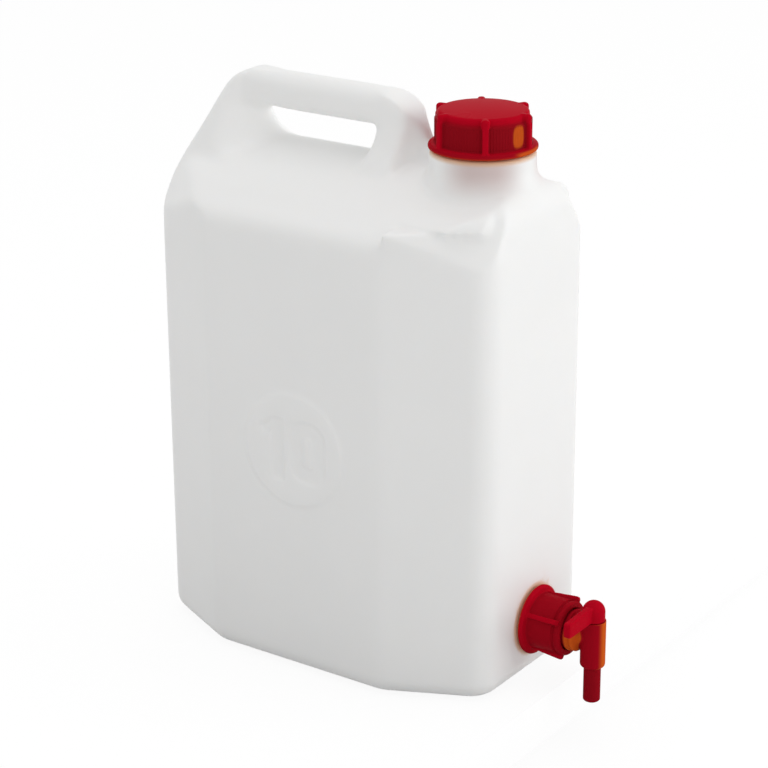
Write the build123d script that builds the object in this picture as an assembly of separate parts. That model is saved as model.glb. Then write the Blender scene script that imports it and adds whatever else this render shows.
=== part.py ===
from build123d import *
import math
import os

# A ten-litre jerrycan, blow moulded in one piece, with a screw cap on its filler neck and a dispensing
# tap on the outlet low on its end. Millimetres. The origin is the middle of the base, X runs along the
# can to the end with the tap, Y across it, and Z is up.

# Can, outside form
LENGTH = 240.0
DEPTH = 158.8
PANEL_WIDTH = 121.8         # flat front and back panels, along X
END_WIDTH = 103.4           # flat end faces, along Y
CORNER_RADIUS = 20.0        # upright edges
BASE_RADIUS = 11.0
WALL = 1.8
HEIGHT = 348.0
ROOF_PEAK = 310.0           # under the handle
ROOF_FALL = 0.335           # drop of the roof for each millimetre across the can
RIDGE_Y = 53.5              # where the roof turns into the steeper slope
EAVES_Z = 279.8             # where the slopes would meet the panels
EAVES_RADIUS = 13.0         # between the panels and the slopes
TANK_HEIGHT = 250.0         # below every slope

# Sloping corners of the shoulder
FACET_START = 264.0         # where they leave the ends of the end faces
FACET_TURN = 52.8           # heading of their normals, degrees from X
FACET_RISE = 29.5           # tilt of their normals, degrees above level
LEDGE_HEIGHT = 287.0        # beside the neck
LEDGE_START = 63.0
STEP_HALF = 61.0            # half width of the step above the ledge
STEP_LEAN = 25.0            # degrees from upright
NOSE_PROUD = 4.4            # how far the end of the step stands off the corner
NOSE_END = 112.0

# Handle
BAR_WIDTH = 24.0
BAR_HEIGHT = 22.0
BAR_RADIUS = 9.6
HAND_LEFT = -72.0           # hand hole at the middle of the can
HAND_RADIUS = 18.0
POCKET_LEFT = -96.0         # hand hole at the outside
POCKET_DEPTH = 31.0
POCKET_RADIUS = 25.0
POCKET_SINK = 0.6           # how far the hand hole's round foot reaches under the roof
LEG_FOOT = (37.0, 295.0)    # corners of the handle's leg at its end, across the can and up
LEG_WAIST = (30.0, 314.0)
LEG_SHOULDER = (25.0, 330.0)
LEG_TOP = (13.0, 345.0)
LEG_END = -50.0             # where the leg's round foot has run out
LEFT_LEAN_START = 289.5     # where the handle's end leans away from the end face
LEFT_LEAN = 29.8            # degrees from upright
LEFT_LEAN_RADIUS = 40.0
TOP_LEFT_RADIUS = 24.0
END_LEAN = 2.5              # lean of the tap's end between the facets
END_LEAN_RADIUS = 60.0
END_TOP_RADIUS = 26.0
POST_START = 12.0           # the post's side of the hand hole
POST_REACH = 47.2           # the post's edge towards the cap
POST_TOP_RADIUS = 38.0
POST_FLARE_Z = 330.0        # the post widens from here to its foot
POST_FOOT_Z = 303.0
POST_FOOT_HALF = 25.0
POST_FOOT_START = 6.0
POST_ROOT = 4.0             # how deep the post's foot starts in the roof
POST_SPARE = 4.0            # how far its sections run on before its edge is trimmed
WEB_SINK = 1.5              # how far the web to the collar lies below the collar's top
SCOOP_RADIUS = 15.0
SCOOP_X = 47.0
SCOOP_Y = 19.0

# Filler neck
NECK_X = 80.5
COLLAR_RADIUS = 30.8
COLLAR_TOP = 321.5
COLLAR_FLARE = 3.0
COLLAR_ROOT = 12.0          # how deep the collar starts in the roof
NECK_RADIUS = 24.0
NECK_WALL = 2.4
NECK_TOP = 338.4

# Round field on the front panel
FIELD_RADIUS = 35.2
FIELD_X = 1.0
FIELD_Z = 144.0
FIELD_PROUD = 1.0

# Outlet for the tap
OUTLET_Z = 35.9
OUTLET_BOSS_RADIUS = 18.0
OUTLET_BOSS_PROUD = 1.2
OUTLET_RADIUS = 14.0
OUTLET_BORE = 10.5
OUTLET_LENGTH = 16.8

# Cap
CAP_FLANGE_RADIUS = 31.6
CAP_FLANGE_THICK = 3.1
CAP_RADIUS = 27.8
CAP_TOP_RADIUS = 26.4
CAP_TOP = 344.6
CAP_TOP_THICK = 2.6
CAP_EDGE_RADIUS = 2.0
CAP_DOME = 0.8
CAP_RIBS = 6
CAP_RIB_TURN = -55.0        # heading of the first rib
CAP_RIB_REACH = 30.4
CAP_RIB_WIDTH = 3.4
CAP_RIB_ROOT = 1.6          # how deep the ribs start inside the cap's wall
CAP_RIB_TOP = 340.2
EAR_REACH = 29.0
EAR_RISE = -0.6             # from the edge of the cap's top
LINER_THICK = 1.6
LINER_PLAY = 0.4

# Tap
THREAD_GAP = 0.3            # between a plain bore and the plain neck inside it
FACE_GAP = 0.1              # between faces that close on each other
NUT_GAP = 0.3               # between the nut and the can's boss
NUT_FLANGE_RADIUS = 21.4
NUT_FLANGE_THICK = 3.0
NUT_RADIUS = 17.0
NUT_LIP_THICK = 5.2
NUT_GROOVE_DEPTH = 1.2
NUT_GROOVE_WIDTH = 2.0
NUT_WINGS = 4
WING_TURN = 58.8
WING_REACH = 19.7
WING_ROOT_REACH = 17.8
WING_WIDTH = 3.0
WING_ROOT = 2.1             # how deep the wings start inside the nut
WASHER_THICK = 2.0
TAP_FLANGE_THICK = 2.4
STEM_RADIUS = 11.6
STEM_RING_RADIUS = 12.7
STEM_RING_WIDTH = 2.2
STEM_BORE = 4.2
BARREL_X = 161.3
BARREL_RADIUS = 7.6
BARREL_LOW = 15.7
BARREL_HIGH = 45.9
BARREL_EDGE = 2.2
COCK_RADIUS = 5.4
COCK_CLEARANCE = 0.05
COCK_BORE = 3.3
PORT_RADIUS = 3.2
NOZZLE_RADIUS = 5.2
NOZZLE_LOW = -7.0
NOZZLE_EDGE = 0.8
HEAD_RADIUS = 6.9
HEAD_TOP = 58.4
HEAD_GAP = 0.1
LEVER_REACH = 31.5
LEVER_THICK = 4.6
LEVER_LOW = 46.3
LEVER_TIP_HEIGHT = 9.4
LEVER_ROOT_HEIGHT = 9.8

# Worked out from the sizes above
HALF_LENGTH = LENGTH / 2
HALF_DEPTH = DEPTH / 2
FAR = LENGTH + HEIGHT
RIDGE_Z = ROOF_PEAK - ROOF_FALL * RIDGE_Y
OUTLET_END = HALF_LENGTH + OUTLET_LENGTH
FLANGE_LOW = COLLAR_TOP + 0.7
NUT_START = HALF_LENGTH + OUTLET_BOSS_PROUD + NUT_GAP
WASHER_START = OUTLET_END + FACE_GAP
TAP_FLANGE_START = WASHER_START + WASHER_THICK + FACE_GAP
TAP_FLANGE_END = TAP_FLANGE_START + TAP_FLANGE_THICK
NUT_END = TAP_FLANGE_END + FACE_GAP + NUT_LIP_THICK


def inset_corners(points, inset):
    """Corners of a closed outline, given anticlockwise, with every side moved inwards."""
    corners = []
    for i, (x, y) in enumerate(points):
        before = points[i - 1]
        after = points[(i + 1) % len(points)]
        a = Vector(x - before[0], y - before[1]).normalized()
        b = Vector(after[0] - x, after[1] - y).normalized()
        bend = 1 + a.X * b.X + a.Y * b.Y
        corners.append((x - inset * (a.Y + b.Y) / bend, y + inset * (a.X + b.X) / bend))
    return corners


def outline(points, radii, inset=0.0):
    """Face inside a closed outline with rounded corners, its sides moved inwards by inset."""
    corners = inset_corners(points, inset)
    rounded = []
    for i, radius in enumerate(radii):
        a = Vector(*corners[i]) - Vector(*corners[i - 1])
        b = Vector(*corners[(i + 1) % len(corners)]) - Vector(*corners[i])
        outwards = a.X * b.Y - a.Y * b.X > 0
        rounded.append(0.0 if radius == 0 else max(radius + (-inset if outwards else inset), 0.4))
    return make_face(FilletPolyline(*corners, radius=rounded, close=True))


def along_x(face, start, end):
    """Solid from a face drawn in Y and Z."""
    return extrude(Plane(origin=(start, 0, 0), x_dir=(0, 1, 0), z_dir=(1, 0, 0)) * face, end - start)


def along_y(face, start, end):
    """Solid from a face drawn in X and Z."""
    plane = Plane(origin=(0, end, 0), x_dir=(1, 0, 0), z_dir=(0, -1, 0))
    return extrude(plane * face, end - start)


def can_plan(inset):
    """Eight-sided plan of the can with rounded corners."""
    a, b, p, q = HALF_LENGTH, HALF_DEPTH, PANEL_WIDTH / 2, END_WIDTH / 2
    points = [(a, -q), (a, q), (p, b), (-p, b), (-a, q), (-a, -q), (-p, -b), (p, -b)]
    return outline(points, [CORNER_RADIUS] * len(points), inset)


def lower_body(inset):
    """Eight-sided tank with a rounded base."""
    tank = extrude(Pos(0, 0, inset) * can_plan(inset), TANK_HEIGHT - inset)
    return fillet(tank.faces().sort_by(Axis.Z)[0].edges(), BASE_RADIUS - inset)


def roof(inset):
    """Section across the can above its tank: two panels, two slopes and the low roof between them."""
    low, far = TANK_HEIGHT - 2 * WALL, HALF_DEPTH
    points = [
        (-far, low), (far, low), (far, EAVES_Z), (RIDGE_Y, RIDGE_Z),
        (0, ROOF_PEAK), (-RIDGE_Y, RIDGE_Z), (-far, EAVES_Z),
    ]
    return outline(points, [0, 0, EAVES_RADIUS, 0, 0, 0, EAVES_RADIUS], inset)


def end_view(inset):
    """Front outline that trims the can's two ends: upright at the tap, leaning under the handle."""
    lean = math.tan(math.radians(LEFT_LEAN))
    top_left = HALF_LENGTH - (HEIGHT - LEFT_LEAN_START) * lean
    step_x = NECK_X - COLLAR_RADIUS + END_TOP_RADIUS / 2
    points = [
        (-HALF_LENGTH, -HEIGHT),
        (HALF_LENGTH, -HEIGHT),
        (HALF_LENGTH, FACET_START),
        (HALF_LENGTH - END_LEAN, ROOF_PEAK),
        (step_x, ROOF_PEAK),
        (step_x, HEIGHT),
        (-top_left, HEIGHT),
        (-HALF_LENGTH, LEFT_LEAN_START),
    ]
    radii = [0, 0, END_LEAN_RADIUS, END_TOP_RADIUS, 0, 0, TOP_LEFT_RADIUS, LEFT_LEAN_RADIUS]
    return outline(points, radii, inset)


def facet_blocks(inset, proud=0.0, sides=(-1, 1)):
    """Blocks that take off the upper corners along their sloping planes."""
    turn, rise = math.radians(FACET_TURN), math.radians(FACET_RISE)
    blocks = []
    for side_x in sides:
        for side_y in (-1, 1):
            normal = Vector(
                side_x * math.cos(rise) * math.cos(turn),
                side_y * math.cos(rise) * math.sin(turn),
                math.sin(rise),
            )
            corner = Vector(side_x * HALF_LENGTH, side_y * END_WIDTH / 2, FACET_START)
            plane = Plane(origin=corner + normal * (proud - inset), z_dir=normal)
            blocks.append(plane * Box(FAR, FAR, FAR, align=(Align.CENTER, Align.CENTER, Align.MIN)))
    return blocks


def hand_pocket(side, inset):
    """Space over the roof on one side of the handle, rounded at its left end."""
    tilt = POCKET_SINK + inset * (math.sqrt(1 + ROOF_FALL**2) - 1)
    high = HEIGHT + BAR_HEIGHT
    faces = []
    for reach, left, radius in ((0.0, HAND_LEFT, HAND_RADIUS), (POCKET_DEPTH, POCKET_LEFT, POCKET_RADIUS)):
        floor = ROOF_PEAK - ROOF_FALL * reach - tilt
        points = [(left, floor), (HALF_LENGTH, floor), (HALF_LENGTH, high), (left, high)]
        plane = Plane(origin=(0, side * reach, 0), x_dir=(1, 0, 0), z_dir=(0, -1, 0))
        faces.append(plane * outline(points, [radius, 0, 0, 0], -inset))
    outward = Vector(0, side, -ROOF_FALL)
    return loft(faces, ruled=True) + extrude(faces[1], HALF_DEPTH * outward.length, dir=outward)


def handle_leg(inset):
    """Wide leg that rises from the can's end into the handle, with the hand hole's round end taken out."""
    half = [(LEG_FOOT[0], TANK_HEIGHT), LEG_FOOT, LEG_WAIST, LEG_SHOULDER, LEG_TOP]
    points = half + [(-y, z) for y, z in reversed(half)]
    leg = along_x(outline(points, [0] * len(points), inset), -HALF_LENGTH, LEG_END)
    for side in (-1, 1):
        leg -= hand_pocket(side, inset)
    return leg


def handle_view(inset):
    """Front outline that rounds the handle over its post, with the web to the collar."""
    upright = [(-HALF_LENGTH, 0), (POST_REACH, 0), (POST_REACH, HEIGHT), (-HALF_LENGTH, HEIGHT)]
    web_top = COLLAR_TOP - WEB_SINK
    web = [(-HALF_LENGTH, 0), (NECK_X, 0), (NECK_X, web_top), (-HALF_LENGTH, web_top)]
    front = outline(upright, [0, 0, POST_TOP_RADIUS, 0], inset) + outline(web, [0] * 4, inset)
    return along_y(front, -HALF_DEPTH, HALF_DEPTH)


def handle_bar(inset):
    """Round-edged bar of the handle."""
    y, low = BAR_WIDTH / 2, HEIGHT - BAR_HEIGHT
    points = [(-y, low), (y, low), (y, HEIGHT), (-y, HEIGHT)]
    bar = along_x(outline(points, [BAR_RADIUS] * 4, inset), -HALF_LENGTH, POST_START + BAR_RADIUS)
    return bar & handle_view(inset)


def post_section(z, start, half, inset):
    """Rounded rectangle across the post at one height."""
    radius = min(BAR_RADIUS, half) - 0.1
    end = POST_REACH + POST_SPARE
    points = [(start, -half), (end, -half), (end, half), (start, half)]
    return Pos(0, 0, z) * outline(points, [radius, 1, 1, radius], inset)


def handle_post(inset):
    """Post between the hand hole and the cap, thin towards the cap and wide at its foot."""
    half = BAR_WIDTH / 2
    mid_z = (POST_FOOT_Z + POST_FLARE_Z) / 2
    spread, reach = POST_FOOT_HALF - half, POST_START - POST_FOOT_START
    foot_z = RIDGE_Z - POST_ROOT
    sections = [
        post_section(foot_z, POST_FOOT_START - reach, POST_FOOT_HALF + spread / 2, inset),
        post_section(POST_FOOT_Z, POST_FOOT_START, POST_FOOT_HALF, inset),
        post_section(mid_z, POST_START - reach / 4, half + spread / 3, inset),
        post_section(POST_FLARE_Z, POST_START, half, inset),
        post_section(HEIGHT + 1, POST_START, half, inset),
    ]
    post = loft(sections, ruled=True) & handle_view(inset)
    for side_y in (-1, 1):
        post -= Pos(SCOOP_X, side_y * SCOOP_Y, foot_z) * Cylinder(
            SCOOP_RADIUS + inset, HEIGHT, align=(Align.CENTER, Align.CENTER, Align.MIN)
        )
    return post


def collar(inset):
    """Wide collar under the cap, with a small flare at its foot."""
    r, top = COLLAR_RADIUS - inset, COLLAR_TOP - inset
    low = RIDGE_Z - COLLAR_ROOT
    foot = ROOF_PEAK - 3 - inset
    profile = make_face(
        Polyline((0, low), (r + COLLAR_FLARE, low), (r + COLLAR_FLARE, foot - COLLAR_FLARE))
        + RadiusArc((r + COLLAR_FLARE, foot - COLLAR_FLARE), (r, foot + COLLAR_FLARE), 3 * COLLAR_FLARE)
        + Polyline((r, foot + COLLAR_FLARE), (r, top - 1), (r - 1, top), (0, top), (0, low))
    )
    return Pos(NECK_X, 0, 0) * revolve(Plane.XZ * profile, Axis.Z)


def step_block(inset, start, end):
    """Steep-sided block as wide as the step beside the neck."""
    lean = math.tan(math.radians(STEP_LEAN))
    rise = HEIGHT - LEDGE_HEIGHT
    points = [
        (-STEP_HALF - lean * rise, LEDGE_HEIGHT - rise),
        (STEP_HALF + lean * rise, LEDGE_HEIGHT - rise),
        (STEP_HALF - lean * rise, LEDGE_HEIGHT + rise),
        (-STEP_HALF + lean * rise, LEDGE_HEIGHT + rise),
    ]
    return along_x(outline(points, [0] * 4, inset), start, end)


def ledge_notch(inset):
    """Space above the two ledges beside the neck."""
    space = Pos(LEDGE_START - inset, 0, LEDGE_HEIGHT - inset) * Box(
        LENGTH, 2 * DEPTH, HEIGHT, align=(Align.MIN, Align.CENTER, Align.MIN)
    )
    return space - step_block(inset, 0, 2 * LENGTH)


def ledges(inset):
    """Flat shoulder over the sloping corners beside the neck, as high as the ledges."""
    low = TANK_HEIGHT - WALL
    height = LEDGE_HEIGHT - inset - low
    corner = Box(HALF_LENGTH, 2 * DEPTH, height, align=(Align.MIN, Align.CENTER, Align.MIN))
    block = Pos(LEDGE_START + inset, 0, low) * corner
    return block & tall_plan(inset) & along_y(end_view(inset), -DEPTH, DEPTH)


def nose(inset):
    """Right-hand end of the step, which stands a little proud of the sloping corner."""
    step = along_x(roof(inset), LEDGE_START, NOSE_END - inset) & tall_plan(inset)
    step = step & along_y(end_view(inset), -DEPTH, DEPTH)
    step = step & step_block(inset, 0, 2 * LENGTH)
    for block in facet_blocks(inset, NOSE_PROUD, sides=(1,)):
        step -= block
    return step & Pos(0, 0, LEDGE_HEIGHT + inset) * Box(FAR, FAR, FAR, align=(Align.CENTER, Align.CENTER, Align.MIN))


def tall_plan(inset):
    """The can's plan, drawn up past its top."""
    return extrude(can_plan(inset), 2 * HEIGHT)


def can_form(inset):
    """Whole closed form of the can without its necks, with every surface moved inwards by inset."""
    upper = along_x(roof(inset), -HALF_LENGTH, HALF_LENGTH) + handle_leg(inset)
    upper += ledges(inset)
    upper += handle_bar(inset)
    upper += handle_post(inset)
    upper &= tall_plan(inset)
    body = lower_body(inset) + upper
    body &= along_y(end_view(inset), -FAR / 2, FAR / 2)
    for block in facet_blocks(inset):
        body -= block
    body -= ledge_notch(inset)
    return body + nose(inset) + collar(inset)


def can_body():
    """The hollow can with its filler neck and its outlet."""
    outside = can_form(0.0)
    outside += Pos(NECK_X, 0, COLLAR_TOP - 2) * Cylinder(
        NECK_RADIUS, NECK_TOP - COLLAR_TOP + 2, align=(Align.CENTER, Align.CENTER, Align.MIN)
    )
    outside += outlet_rod(OUTLET_BOSS_RADIUS, HALF_LENGTH - WALL, HALF_LENGTH + OUTLET_BOSS_PROUD)
    outside += outlet_rod(OUTLET_RADIUS, HALF_LENGTH - WALL, OUTLET_END)
    outside += front_field()
    can = outside - can_form(WALL)
    can -= Pos(NECK_X, 0, COLLAR_TOP - 4) * Cylinder(
        NECK_RADIUS - NECK_WALL, HEIGHT, align=(Align.CENTER, Align.CENTER, Align.MIN)
    )
    return can - outlet_rod(OUTLET_BORE, HALF_LENGTH - 2 * WALL, OUTLET_END + 1)


def outlet_rod(radius, start, end, height=OUTLET_Z):
    """Round rod on the tap's axis."""
    return Pos(start, 0, height) * Rot(0, 90, 0) * Cylinder(
        radius, end - start, align=(Align.CENTER, Align.CENTER, Align.MIN)
    )


def front_field():
    """Round field that stands proud of the front panel."""
    disc = Cylinder(FIELD_RADIUS, 2 * FIELD_PROUD)
    disc = fillet(disc.edges().sort_by(Axis.Z)[-1], FIELD_PROUD * 0.8)
    return Pos(FIELD_X, -HALF_DEPTH, FIELD_Z) * Rot(90, 0, 0) * disc


def filler_cap():
    """Screw cap with a flange, six ribs and a slightly domed top."""
    low, rim = FLANGE_LOW, FLANGE_LOW + CAP_FLANGE_THICK
    bore = NECK_RADIUS + THREAD_GAP
    ceiling = CAP_TOP - CAP_TOP_THICK
    shoulder = CAP_TOP - CAP_EDGE_RADIUS
    crown = CAP_TOP_RADIUS - CAP_EDGE_RADIUS
    profile = make_face(
        Polyline(
            (0, ceiling), (bore, ceiling), (bore, low), (CAP_FLANGE_RADIUS - 0.5, low),
            (CAP_FLANGE_RADIUS, low + 0.5), (CAP_FLANGE_RADIUS, rim - 1.0),
            (CAP_FLANGE_RADIUS - 1.0, rim), (CAP_RADIUS, rim + 0.6), (CAP_RADIUS, CAP_RIB_TOP - 0.7),
            (CAP_RADIUS - 0.7, CAP_RIB_TOP), (CAP_TOP_RADIUS, CAP_RIB_TOP), (CAP_TOP_RADIUS, shoulder),
        )
        + RadiusArc((CAP_TOP_RADIUS, shoulder), (crown, CAP_TOP), -CAP_EDGE_RADIUS)
        + RadiusArc((crown, CAP_TOP), (0, CAP_TOP + CAP_DOME), -(crown**2 + CAP_DOME**2) / (2 * CAP_DOME))
        + Line((0, CAP_TOP + CAP_DOME), (0, ceiling))
    )
    cap = revolve(Plane.XZ * profile, Axis.Z)
    for i in range(CAP_RIBS):
        cap += Rot(0, 0, CAP_RIB_TURN + i * 360 / CAP_RIBS) * cap_rib(rim)
    return Pos(NECK_X, 0, 0) * cap


def cap_rib(rim):
    """Grip rib with a stepped ear that rises to the cap's edge."""
    root = CAP_TOP_RADIUS - CAP_RIB_ROOT
    body = along_y(
        outline(
            [(root, rim - 0.5), (CAP_RIB_REACH, rim - 0.5), (CAP_RIB_REACH, CAP_RIB_TOP), (root, CAP_RIB_TOP)],
            [0, 0, 1.2, 0],
        ),
        -CAP_RIB_WIDTH / 2,
        CAP_RIB_WIDTH / 2,
    )
    ear = along_y(
        outline(
            [(root, CAP_RIB_TOP - 1), (EAR_REACH, CAP_RIB_TOP - 1), (EAR_REACH, CAP_TOP + EAR_RISE),
             (root, CAP_TOP + EAR_RISE)],
            [0, 0, 0.9, 0.9],
        ),
        -CAP_RIB_WIDTH / 2,
        CAP_RIB_WIDTH / 2,
    )
    return body + ear


def cap_liner():
    """Sealing disc between the neck's rim and the cap."""
    face = Circle(NECK_RADIUS - LINER_PLAY)
    return Pos(NECK_X, 0, NECK_TOP + FACE_GAP) * extrude(face, LINER_THICK)


def turned(points):
    """Solid turned about the tap's axis, from corners given along it and out from it."""
    profile = make_face(Polyline(*points, close=True))
    return Pos(0, 0, OUTLET_Z) * revolve(Plane.XZ * profile, Axis.X)


def tap_nut():
    """Union nut with a flange, a groove before its end and four wings."""
    start, end = NUT_START, NUT_END
    bore = OUTLET_RADIUS + THREAD_GAP
    lip = end - NUT_LIP_THICK
    hole = STEM_RING_RADIUS + THREAD_GAP
    groove = end - NUT_GROOVE_WIDTH - 3.2
    flange = start + NUT_FLANGE_THICK
    nut = turned([
        (start, bore), (start, NUT_FLANGE_RADIUS - 0.6), (start + 0.6, NUT_FLANGE_RADIUS),
        (flange - 0.8, NUT_FLANGE_RADIUS), (flange, NUT_FLANGE_RADIUS - 1.2), (flange + 0.4, NUT_RADIUS),
        (groove, NUT_RADIUS - 0.4), (groove, NUT_RADIUS - NUT_GROOVE_DEPTH - 0.4),
        (groove + NUT_GROOVE_WIDTH, NUT_RADIUS - NUT_GROOVE_DEPTH - 0.4),
        (groove + NUT_GROOVE_WIDTH, NUT_RADIUS - 0.4), (end - 0.8, NUT_RADIUS - 0.4), (end, NUT_RADIUS - 1.2),
        (end, hole), (lip, hole), (lip, bore),
    ])
    for i in range(NUT_WINGS):
        nut += Pos(0, 0, OUTLET_Z) * Rot(WING_TURN + i * 360 / NUT_WINGS, 0, 0) * nut_wing()
    return nut


def nut_wing():
    """Wing of the nut, higher towards the nut's free end."""
    root = NUT_RADIUS - WING_ROOT
    face = outline(
        [
            (NUT_START + 1, root), (NUT_END - 0.6, root), (NUT_END - 0.6, WING_REACH),
            (NUT_START + NUT_FLANGE_THICK, WING_ROOT_REACH), (NUT_START + 1, WING_ROOT_REACH),
        ],
        [0, 0, 1.8, 0, 0],
    )
    return extrude(Plane.XY * face, WING_WIDTH / 2, both=True)


def tap_washer():
    """Sealing ring between the outlet's rim and the tap."""
    start, end = WASHER_START, WASHER_START + WASHER_THICK
    inner, outer = OUTLET_BORE + 0.3, OUTLET_RADIUS - 0.1
    return turned([(start, inner), (start, outer), (end, outer), (end, inner)])


def tap_housing():
    """Stem with a flange and two rings, and the upright barrel that the cock turns in."""
    start = TAP_FLANGE_START
    outer = OUTLET_RADIUS
    neck = BARREL_X - BARREL_RADIUS - 0.4
    first, second = NUT_END + 0.6, NUT_END + 0.6 + STEM_RING_WIDTH + 1.4
    stem = turned([
        (start, 0), (start, outer), (TAP_FLANGE_END, outer), (TAP_FLANGE_END, STEM_RADIUS),
        (first, STEM_RADIUS), (first, STEM_RING_RADIUS), (first + STEM_RING_WIDTH, STEM_RING_RADIUS),
        (first + STEM_RING_WIDTH, STEM_RADIUS), (second, STEM_RADIUS), (second + 0.4, STEM_RING_RADIUS - 0.4),
        (neck - 0.8, STEM_RING_RADIUS - 0.4), (neck, STEM_RING_RADIUS - 1.6),
        (neck + 1.2, BARREL_RADIUS), (BARREL_X, BARREL_RADIUS - 0.6), (BARREL_X, 0),
    ])
    barrel = Pos(BARREL_X, 0, BARREL_LOW) * Cylinder(
        BARREL_RADIUS, BARREL_HIGH - BARREL_LOW, align=(Align.CENTER, Align.CENTER, Align.MIN)
    )
    barrel = fillet(barrel.edges().filter_by(GeomType.CIRCLE).sort_by(Axis.Z)[0], BARREL_EDGE)
    housing = stem + barrel
    housing -= outlet_rod(STEM_BORE, start - 1, BARREL_X)
    return housing - Pos(BARREL_X, 0, BARREL_LOW - 1) * Cylinder(
        COCK_RADIUS + COCK_CLEARANCE, HEIGHT / 4, align=(Align.CENTER, Align.CENTER, Align.MIN)
    )


def tap_key():
    """Turning cock: dome and lever on top, hollow plug in the barrel and nozzle below, all one piece."""
    head_low = BARREL_HIGH + HEAD_GAP
    mid = HEAD_TOP - HEAD_RADIUS
    profile = make_face(
        Polyline(
            (0, NOZZLE_LOW), (NOZZLE_RADIUS - NOZZLE_EDGE, NOZZLE_LOW), (NOZZLE_RADIUS, NOZZLE_LOW + NOZZLE_EDGE),
            (NOZZLE_RADIUS, BARREL_LOW), (COCK_RADIUS, BARREL_LOW), (COCK_RADIUS, head_low),
            (HEAD_RADIUS - 0.5, head_low), (HEAD_RADIUS, head_low + 0.5), (HEAD_RADIUS, mid),
        )
        + RadiusArc((HEAD_RADIUS, mid), (0, HEAD_TOP), -HEAD_RADIUS)
        + Line((0, HEAD_TOP), (0, NOZZLE_LOW))
    )
    key = Pos(BARREL_X, 0, 0) * revolve(Plane.XZ * profile, Axis.Z)
    key += lever()
    key -= Pos(BARREL_X, 0, NOZZLE_LOW - 1) * Cylinder(
        COCK_BORE, OUTLET_Z + PORT_RADIUS + 1.5 - NOZZLE_LOW, align=(Align.CENTER, Align.CENTER, Align.MIN)
    )
    port = Pos(BARREL_X, 0, OUTLET_Z) * Rot(-90, 0, 0) * Cylinder(
        PORT_RADIUS, COCK_RADIUS + 1, align=(Align.CENTER, Align.CENTER, Align.MIN)
    )
    return key - port


def lever():
    """Flat upright lever that points to the front when the tap is shut."""
    face = outline(
        [
            (-LEVER_REACH, LEVER_LOW), (0, LEVER_LOW), (0, LEVER_LOW + LEVER_ROOT_HEIGHT),
            (-LEVER_REACH, LEVER_LOW + LEVER_TIP_HEIGHT),
        ],
        [1.6, 0, 0, 1.6],
    )
    blade = along_x(face, BARREL_X - LEVER_THICK / 2, BARREL_X + LEVER_THICK / 2)
    return fillet(blade.edges().filter_by(Axis.Y).sort_by(Axis.Z)[-2:], 0.9)


def main():
    """Writes each piece as its own file."""
    os.makedirs("parts", exist_ok=True)
    pieces = {
        "can_body": can_body(),
        "filler_cap": filler_cap(),
        "cap_liner": cap_liner(),
        "tap_nut": tap_nut(),
        "tap_washer": tap_washer(),
        "tap_housing": tap_housing(),
        "tap_key": tap_key(),
    }
    for name, solid in pieces.items():
        export_step(solid, f"parts/{name}.step")


if __name__ == "__main__":
    main()
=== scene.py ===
"""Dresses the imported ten-litre jerrycan.

It adds a softened white shell, moulded red fittings, threads and a pale studio. Lengths are metres in
the CAD's own frame: X runs to the end with the tap, Y across the can and Z up.
"""
import logging
import math
from dataclasses import dataclass
from enum import Enum
from typing import Any, Callable, Sequence

import bmesh
import bpy
import numpy as np
from mathutils import Matrix, Vector
from mathutils.kdtree import KDTree

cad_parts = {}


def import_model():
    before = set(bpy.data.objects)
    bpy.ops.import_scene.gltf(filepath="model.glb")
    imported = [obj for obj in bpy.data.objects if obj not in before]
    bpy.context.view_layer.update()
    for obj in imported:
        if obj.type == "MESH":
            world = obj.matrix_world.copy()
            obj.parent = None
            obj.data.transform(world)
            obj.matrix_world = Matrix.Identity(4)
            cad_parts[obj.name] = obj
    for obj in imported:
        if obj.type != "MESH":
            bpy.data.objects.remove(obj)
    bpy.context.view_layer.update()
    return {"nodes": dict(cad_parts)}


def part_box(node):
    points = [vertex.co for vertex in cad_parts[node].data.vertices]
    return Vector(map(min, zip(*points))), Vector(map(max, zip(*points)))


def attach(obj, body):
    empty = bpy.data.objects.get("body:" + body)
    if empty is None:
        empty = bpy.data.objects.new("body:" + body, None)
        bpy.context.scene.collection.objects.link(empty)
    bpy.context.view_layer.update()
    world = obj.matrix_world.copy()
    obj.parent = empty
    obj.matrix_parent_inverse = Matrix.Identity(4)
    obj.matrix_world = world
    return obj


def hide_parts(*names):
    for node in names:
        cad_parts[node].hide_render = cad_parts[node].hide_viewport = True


log = logging.getLogger("jerrycan")

MM = 0.001
# Vertex layer of painted shade, which darkens a material's colour
PAINTED_SHADE_LAYER = "painted_shade"
# Vertex layer of painted light, which turns a material's colour orange or pale
PAINTED_LIGHT_LAYER = "painted_light"
# Size of the slow drift in a plastic's colour, and how far its roughness drifts with it
DRIFT = 45 * MM
SMOOTHEST = 0.9
ROUGHEST = 1.12
# Where a gradual change starts and where it ends
Span = tuple[float, float]


def linear(hex_colour: str) -> tuple[float, float, float, float]:
    """Turns an sRGB hex colour into Blender's linear values.

    Args:
        hex_colour: colour such as "#C8102E".

    Returns:
        Red, green and blue in linear light, and full opacity.
    """
    parts = [int(hex_colour[i:i + 2], 16) / 255 for i in (1, 3, 5)]
    values = [c / 12.92 if c <= 0.04045 else ((c + 0.055) / 1.055) ** 2.4 for c in parts]
    return (values[0], values[1], values[2], 1.0)


def add_node(tree: bpy.types.NodeTree, kind: str, settings: dict[str, Any] | None = None,
             links: dict[str, Any] | None = None) -> bpy.types.Node:
    """Adds one node with its settings and links.

    Args:
        tree: node tree that gets the node.
        kind: Blender's name for the node's type.
        settings: properties by name, and inputs that hold a value by their socket's name or number.
        links: output sockets by the name or number of the input that each one feeds.

    Returns:
        The new node.
    """
    node = tree.nodes.new(kind)
    for key, value in (settings or {}).items():
        if isinstance(key, str) and key in node.bl_rna.properties:
            setattr(node, key, value)
        else:
            node.inputs[key].default_value = value
    for key, socket in (links or {}).items():
        tree.links.new(socket, node.inputs[key])
    return node


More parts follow.
